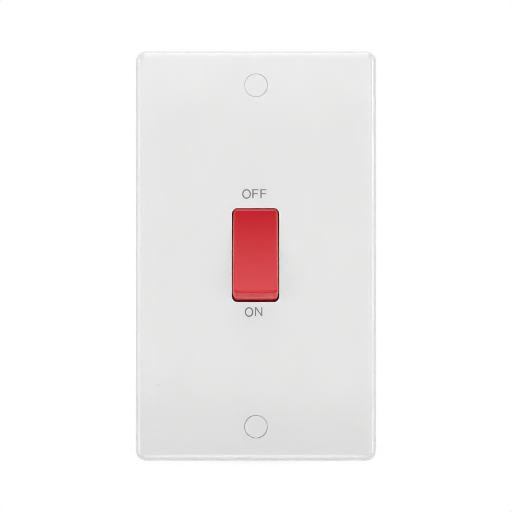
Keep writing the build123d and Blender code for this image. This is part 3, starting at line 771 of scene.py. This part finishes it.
def screwHead(tree, given, look):
    half = mathNode(tree, "MULTIPLY", given["Head Height"], 0.5)
    inputs = {"Vertices": look["headSides"], "Side Segments": look["headBands"]}
    inputs.update({"Radius": given["Head Radius"], "Depth": given["Head Height"]})
    head = addNode(tree, "GeometryNodeMeshCylinder", inputs)
    place = fromNode(tree, "GeometryNodeInputPosition", "Position")
    height = mathNode(tree, "ABSOLUTE", fromNode(tree, "ShaderNodeSeparateXYZ", "Z", {"Vector": place}))
    inputs = {0: height, 1: look["midLevel"] * mm}
    middle = fromNode(tree, "FunctionNodeCompare", "Result", inputs, operation="LESS_THAN")
    shoulder = vector(tree, z=mathNode(tree, "SUBTRACT", half, given["Head Edge"]))
    inputs = {"Geometry": head.outputs["Mesh"], "Selection": middle, "Offset": shoulder}
    lifted = fromNode(tree, "GeometryNodeSetPosition", "Geometry", inputs)
    top = mathNode(tree, "SUBTRACT", given["Head Radius"], given["Head Edge"])
    narrow = mathNode(tree, "DIVIDE", top, given["Head Radius"])
    inputs = {0: place, 1: vector(tree, narrow, narrow, 1.0)}
    drawn = fromNode(tree, "ShaderNodeVectorMath", "Vector", inputs, operation="MULTIPLY")
    inputs = {"Geometry": lifted, "Selection": head.outputs["Top"], "Position": drawn}
    return raised(tree, fromNode(tree, "GeometryNodeSetPosition", "Geometry", inputs), half)


def slotted(tree, given, head):
    depth = mathNode(tree, "MULTIPLY", given["Slot Depth"], 2.0)
    slots = []
    for x, y in (("Slot Reach", "Slot Width"), ("Slot Width", "Slot Reach")):
        size = vector(tree, given[x], given[y], depth)
        block = fromNode(tree, "GeometryNodeMeshCube", "Mesh", {"Size": size})
        slots.append(raised(tree, block, given["Head Height"]))
    inputs = {"Switch": given["Cross"], "True": slots[1]}
    second = fromNode(tree, "GeometryNodeSwitch", "Output", inputs, input_type="GEOMETRY")
    cut = addNode(tree, "GeometryNodeMeshBoolean", {"Mesh 1": head}, operation="DIFFERENCE", solver="EXACT")
    for slot in (slots[0], second):
        tree.links.new(slot, cut.inputs["Mesh 2"])
    return cut.outputs["Mesh"]


def screwTree(look):
    sizes = {label: "NodeSocketFloat" for labels in screwLengths.values() for label in labels}
    sizes.update({"Turned Over": "NodeSocketFloat", "Cross": "NodeSocketBool"})
    sizes.update({"Seed": "NodeSocketInt", "Finish": "NodeSocketMaterial"})
    tree, given = newTree("screw", sizes)
    head = slotted(tree, given, screwHead(tree, given, look))
    neck = cylinder(tree, look["shankSides"], given["Neck Radius"], given["Neck Length"])
    neck = raised(tree, neck, mathNode(tree, "MULTIPLY", given["Neck Length"], -0.5))
    core = cylinder(tree, look["shankSides"], given["Core Radius"], given["Thread Length"])
    drop = mathNode(tree, "MULTIPLY", given["Thread Length"], -0.5)
    core = raised(tree, core, mathNode(tree, "SUBTRACT", drop, given["Neck Length"]))
    run = given["Thread Length"]
    for _ in range(2):  # the thread stops a ridge short of both ends
        run = mathNode(tree, "SUBTRACT", run, given["Ridge"])
    turns = mathNode(tree, "DIVIDE", run, given["Pitch"])
    wire = {"wire": given["Ridge"], "sides": look["threadSides"], "steps": look["threadSteps"]}
    thread = coil(tree, given["Core Radius"], turns, run, **wire)
    length = mathNode(tree, "ADD", given["Neck Length"], given["Thread Length"])
    thread = raised(tree, thread, mathNode(tree, "SUBTRACT", given["Ridge"], length))
    screw = addNode(tree, "GeometryNodeJoinGeometry")
    for part in (head, neck, core, thread):
        tree.links.new(part, screw.inputs["Geometry"])
    placed = onPoints(tree, given["Geometry"], screw.outputs["Geometry"], given["Turned Over"])
    inputs = {"Min": 0.0, "Max": math.pi, "Seed": given["Seed"]}
    spin = fromNode(tree, "FunctionNodeRandomValue", "Value", inputs, data_type="FLOAT")
    inputs = {"Instances": placed, "Rotation": turned(tree, z=spin), "Local Space": True}
    endTree(tree, fromNode(tree, "GeometryNodeRotateInstances", "Instances", inputs), given["Finish"])
    return tree


screwMaker = screwTree(screwMesh)
for node, look in screwLooks.items():
    given = {"Turned Over": math.radians(look["turn"]), "Cross": look["cross"], "Seed": look["seed"]}
    given["Finish"] = zinc
    for key, labels in screwLengths.items():
        given.update(zip(labels, (length * mm for length in look[key])))
    sharp = meshing["turnedSharp"]
    treePiece(look["name"], screwMaker, look["seats"], given, "base", node, sharp)
print("screws made")


# springs: a coil between each plunger and the rocker
springLook = {
    "radius": 1.55, "wire": 0.25, "turns": 4.0, "from": 1.21, "to": 5.55, "keep": 0.77,
    "poles": {"live": -4.0, "neutral": 4.0}, "steps": 40, "wireSides": 12,
}


def springTree(look):
    sizes = {label: "NodeSocketFloat" for label in ("Radius", "Wire", "Turns", "Height", "Lean")}
    sizes["Finish"] = "NodeSocketMaterial"
    tree, given = newTree("coil spring", sizes)
    wire = {"wire": given["Wire"], "sides": look["wireSides"], "steps": look["steps"]}
    shape = coil(tree, given["Radius"], given["Turns"], given["Height"], **wire)
    endTree(tree, onPoints(tree, given["Geometry"], shape, given["Lean"]), given["Finish"])
    return tree


springMaker = springTree(springLook)
for pole, side in springLook["poles"].items():
    foot, top = (rockerPoint(rockerLook, side, 0, springLook[end]) for end in ("from", "to"))
    given = {
        "Radius": springLook["radius"] * mm, "Wire": springLook["wire"] * mm, "Turns": springLook["turns"],
        "Height": (top - foot).length, "Lean": math.radians(90 - rockerLook["tilt"]), "Finish": springSteel,
    }
    name, node, sharp = pole + "Spring", pole + "_spring", meshing["wireSharp"]
    spring = treePiece(name, springMaker, [foot / mm], given, "rocker", node, sharp)
    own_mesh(spring)
print("springs made")


# contact arms, silver tips and plungers
contactPieces = {
    "live_contact_arm": ("liveContactArm", "live_arm", "copper_arm", copper),
    "neutral_contact_arm": ("neutralContactArm", "neutral_arm", "copper_arm", copper),
    "live_moving_tip": ("liveMovingTip", "live_arm", "silver_contact", silver),
    "neutral_moving_tip": ("neutralMovingTip", "neutral_arm", "silver_contact", silver),
    "fixed_contact_tips": ("fixedContactTips", "base", "silver_contact", silver),
    "live_plunger": ("livePlunger", "live_plunger", "natural_nylon", nylonPlastic),
    "neutral_plunger": ("neutralPlunger", "neutral_plunger", "natural_nylon", nylonPlastic),
}
smoothNodes(contactPieces)
print("contacts and plungers smoothed:", len(contactPieces))


# words printed on the plate
printedWords = {
    "face": plateFace, "sunk": 0.01, "proud": 0.015, "stroke": 0.46, "thin": 0.36, "steps": 56,
    "armRise": 0.575, "armShort": 0.2, "slant": 1.22, "notch": 1.55,  # arm of the F, diagonal of the N
    "off": {
        "low": 20.40, "high": 23.58, "round": (20.20, 23.63),
        "O": (-4.90, -1.79), "F": ((-1.31, 0.82), (1.54, 3.70)),
    },
    "on": {"low": -21.20, "high": -18.08, "round": (-21.52, -18.05), "O": (-3.95, -0.94), "N": (-0.36, 2.24)},
}


def outlineFace(bm, outline):
    bm.faces.new([bm.verts.new((x * mm, 0, z * mm)) for x, z in outline])


def oLetter(bm, left, right, low, high, look):
    middle = ((left + right) / 2, (low + high) / 2)
    reach = ((right - left) / 2, (high - low) / 2)
    insets = (0, look["stroke"])
    bridgeRings(bm, [ovalRing(bm, middle, [r - inset for r in reach], 0, look["steps"]) for inset in insets])


def fLetter(bm, left, right, low, high, look):
    stem, thin = left + look["stroke"], look["thin"]
    arm, short = low + look["armRise"] * (high - low), right - look["armShort"]
    outlineFace(bm, (
        (left, low), (stem, low), (stem, arm - thin), (short, arm - thin), (short, arm),
        (stem, arm), (stem, high - thin), (right, high - thin), (right, high), (left, high),
    ))


def nLetter(bm, left, right, low, high, look):
    thin = look["thin"]
    slant, notch = look["slant"] * thin, look["notch"] * thin
    outlineFace(bm, (
        (left, low), (left + thin, low), (left + thin, high - notch), (right - slant, low), (right, low),
        (right, high), (right - thin, high), (right - thin, low + notch), (left + slant, high), (left, high),
    ))


def printWord(name, word, look):
    bm = bmesh.new()
    oLetter(bm, *word["O"], *word["round"], look)
    for ends in word.get("F", ()):
        fLetter(bm, *ends, word["low"], word["high"], look)
    if "N" in word:
        nLetter(bm, *word["N"], word["low"], word["high"], look)
    lifted = bmesh.ops.extrude_face_region(bm, geom=list(bm.faces))
    for v in bm.verts:
        v.co.y = (look["face"] + look["sunk"]) * mm
    for v in [v for v in lifted["geom"] if isinstance(v, bmesh.types.BMVert)]:
        v.co.y = (look["face"] - look["proud"]) * mm
    bmesh.ops.recalc_face_normals(bm, faces=bm.faces)
    piece = newObject(bm, name, greyPrint)
    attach(piece, "base")


printWord("offWord", printedWords["off"], printedWords)
printWord("onWord", printedWords["on"], printedWords)
print("words printed")


# floor, light and camera, in metres and degrees
lampKinds = {  # mirrored in gloss, lights what it falls on, and the only pieces it is shown to
    "fill": (False, True, None),
    "plateFill": (False, True, "plate"),
    "plateMirror": (True, False, "plate"),
    "rockerFill": (False, True, "rocker"),
    "rockerMirror": (True, False, "rocker"),
    "fittingMirror": (True, False, "fittings"),
}
studio = {
    "floorLevel": -0.0732, "floorReach": 3.0, "floorSides": 96, "floorColour": (0.62, 0.62, 0.62),
    "floorGlow": 0.42, "shadowMiddle": (0.0, 0.035, 0.0), "shadowSpan": (0.020, 0.055),
    "ambient": {"front": 0.10, "back": 0.60, "span": (-0.30, 0.10)},
    "mirror": {"front": 0.08, "back": 1.0, "span": (-0.65, -0.15)},
    # kind, turn, rise, distance, size, level; then where a fade starts and what it leaves at the foot
    "lamps": {
        "mainFront": ("fill", 0, 0, 1.20, (0.60, 0.55), 4.42),
        "topFill": ("fill", 0, 70, 0.80, (0.30, 0.40), 3.4),
        "lowFill": ("fill", 0, -66, 0.80, (0.30, 0.40), 4.6),
        "leftFill": ("fill", -68, 0, 0.80, (0.40, 0.30), 2.4),
        "rightFill": ("fill", 68, 0, 0.80, (0.40, 0.30), 2.6),
        "leftSoft": ("fill", -46, 4, 0.90, (0.40, 0.40), 2.8),
        "rightSoft": ("fill", 46, 4, 0.90, (0.40, 0.40), 2.55),
        "eyePanel": ("plateMirror", 0, -0.38, 0.90, (1.60, 0.282), 2.0),
        "eyeStrip": ("plateMirror", 0, 19.0, 0.90, (1.60, 0.32), 3.1),
        "topRim": ("plateFill", 0, 93, 0.80, (0.30, 0.30), 3.9),
        "leftRim": ("plateFill", -93, 0, 0.80, (0.30, 0.30), 1.4),
        "rightRim": ("plateFill", 93, 0, 0.80, (0.30, 0.30), 1.6),
        "topBox": ("plateMirror", 0, 63, 0.80, (0.50, 1.20), 4.0, 0.45, 0.62),
        "lowBox": ("plateMirror", 0, -49, 0.80, (0.20, 0.58), 3.7),
        "leftBox": ("plateMirror", -73, 0, 0.80, (0.20, 0.80), 11.5, 0.50, 0.2),
        "rightBox": ("plateMirror", 72.5, 0, 0.80, (0.20, 0.80), 12.5, 0.50, 0.2),
        "leftGlow": ("plateMirror", -34, 0, 0.80, (0.42, 0.80), 0.9),
        "rightGlow": ("plateMirror", 34, 0, 0.80, (0.42, 0.80), 1.4),
        "frontPanel": ("rockerMirror", 0, 28.5, 0.90, (0.80, 0.42), 2.2, 0.50, 0.0),
        "eyeGlow": ("rockerMirror", 0, -14, 0.90, (0.40, 0.78), 1.2),
        "topEdge": ("rockerMirror", 0, 52, 0.80, (0.40, 0.20), 5.0),
        "leftEdge": ("rockerMirror", -86, 12, 0.80, (0.52, 0.36), 0.5),
        "rightEdge": ("rockerMirror", 86, 12, 0.80, (0.52, 0.36), 0.5),
        "leftSheen": ("rockerMirror", -45, 17, 0.80, (0.66, 0.40), 0.9),
        "rightSheen": ("rockerMirror", 45, 17, 0.80, (0.66, 0.40), 1.1),
        "leftBlush": ("rockerFill", -82, 8, 0.80, (0.30, 0.40), 2.4),
        "rightBlush": ("rockerFill", 82, 8, 0.80, (0.30, 0.40), 4.0),
        "rearLeft": ("fill", -142, 30, 0.90, (0.50, 0.50), 1.6),
        "rearRight": ("fill", 142, 38, 0.90, (0.50, 0.50), 2.2),
        "leftShine": ("fittingMirror", -142, 30, 0.90, (0.50, 0.50), 1.6),
        "rightShine": ("fittingMirror", 142, 38, 0.90, (0.50, 0.50), 2.2),
    },
    "camera": {"place": (0.0, -0.529, 0.0), "lens": 103.5, "sensor": 36, "clip": (0.01, 50)},
}
white = (1, 1, 1, 1)


def floorFinish(look):
    mat, tree = newMaterial("pale floor")
    apart = distance(tree, fromNode(tree, "ShaderNodeTexCoord", "Object"), look["shadowMiddle"])
    fade = mapped(tree, apart, *look["shadowSpan"], interpolation_type="SMOOTHSTEP")
    pale = fromNode(tree, "ShaderNodeBsdfDiffuse", "BSDF", {"Color": (*look["floorColour"], 1)})
    glow = fromNode(tree, "ShaderNodeEmission", "Emission", {"Color": white, "Strength": look["floorGlow"]})
    lit = fromNode(tree, "ShaderNodeAddShader", "Shader", {0: pale, 1: glow})
    clear = fromNode(tree, "ShaderNodeEmission", "Emission", {"Color": white, "Strength": 1.0})
    both = fromNode(tree, "ShaderNodeMixShader", "Shader", {0: fade, 1: lit, 2: clear})
    addNode(tree, "ShaderNodeOutputMaterial", {"Surface": both})
    return mat


def makeFloor(look):
    bm = bmesh.new()
    bmesh.ops.create_circle(bm, cap_ends=True, segments=look["floorSides"], radius=look["floorReach"])
    floor = newObject(bm, "floor", floorFinish(look))
    floor.location.z = look["floorLevel"]
    floor.visible_diffuse = floor.visible_glossy = False
    floor.visible_shadow = False  # lets the low lamps through


def makeWorld(look):
    world = bpy.data.worlds.new("studio")
    scene.world = world
    world.use_nodes = True
    tree = world.node_tree
    tree.nodes.clear()
    coords = fromNode(tree, "ShaderNodeTexCoord", "Generated")
    depth = fromNode(tree, "ShaderNodeSeparateXYZ", "Y", {"Vector": coords})
    ray = addNode(tree, "ShaderNodeLightPath").outputs
    glossy = mathNode(tree, "MAXIMUM", ray["Is Glossy Ray"], ray["Is Transmission Ray"])
    skies = []
    for sky in (look["ambient"], look["mirror"]):  # darker in front of the plate than behind it
        skies.append(mapped(tree, depth, *sky["span"], sky["front"], sky["back"]))
    seen = fromNode(tree, "ShaderNodeMix", "Result", {"Factor": glossy, "A": skies[0], "B": skies[1]})
    level = fromNode(tree, "ShaderNodeMix", "Result", {"Factor": ray["Is Camera Ray"], "A": seen, "B": 1.0})
    light = fromNode(tree, "ShaderNodeBackground", "Background", {"Color": white, "Strength": level})
    addNode(tree, "ShaderNodeOutputWorld", {"Surface": light})


def makeLamp(name, kind, turn, rise, away, size, level, full=None, foot=None):
    mirrored, lights, shownTo = lampKinds[kind]
    turn, rise = math.radians(turn), math.radians(rise)
    out = Vector((math.sin(turn) * math.cos(rise), -math.cos(turn) * math.cos(rise), math.sin(rise)))
    data = bpy.data.lights.new(name, "AREA")
    data.shape = "RECTANGLE"
    data.size, data.size_y = size
    data.energy = level * math.pi * data.size * data.size_y
    if full is not None:
        data.use_nodes = True
        tree = data.node_tree
        place = fromNode(tree, "ShaderNodeNewGeometry", "Parametric")
        height = fromNode(tree, "ShaderNodeSeparateXYZ", "Y", {"Vector": place})
        tree.links.new(mapped(tree, height, 0.0, full, foot), tree.nodes["Emission"].inputs["Strength"])
    lamp = bpy.data.objects.new(name, data)
    lamp.location = out * away
    lamp.rotation_euler = out.to_track_quat("Z", "Y").to_euler()
    lamp.visible_camera = False
    lamp.visible_glossy = mirrored
    lamp.visible_diffuse = lights
    if shownTo:
        lamp.light_linking.receiver_collection = lampGroups[shownTo]
    scene.collection.objects.link(lamp)


def makeCamera(look):
    eye = bpy.data.cameras.new("photoCamera")
    eye.lens = look["lens"]
    eye.sensor_width = look["sensor"]
    eye.clip_start, eye.clip_end = look["clip"]
    camera = bpy.data.objects.new("photoCamera", eye)
    camera.location = look["place"]
    camera.rotation_euler = (math.pi / 2, 0, 0)
    scene.collection.objects.link(camera)
    scene.camera = camera


fittings = [name for name, *_ in (*smoothPieces.values(), *contactPieces.values())]
fittings += [look["name"] for look in screwLooks.values()] + [pole + "Spring" for pole in springLook["poles"]]
lampPieces = {"plate": ["frontPlate", "upperCap", "lowerCap"], "rocker": ["rockerMoulding"]}
lampPieces["fittings"] = fittings
lampGroups = {}
for group, names in lampPieces.items():
    lampGroups[group] = bpy.data.collections.new(group + " lamps")
    for name in names:
        lampGroups[group].objects.link(bpy.data.objects[name])
makeFloor(studio)
makeWorld(studio)
for name, row in studio["lamps"].items():
    makeLamp(name, *row)
makeCamera(studio["camera"])
scene.view_settings.view_transform = "Standard"
scene.cycles.filter_width = 1.0  # crisper edges than the default, as in the photo
print("studio set")
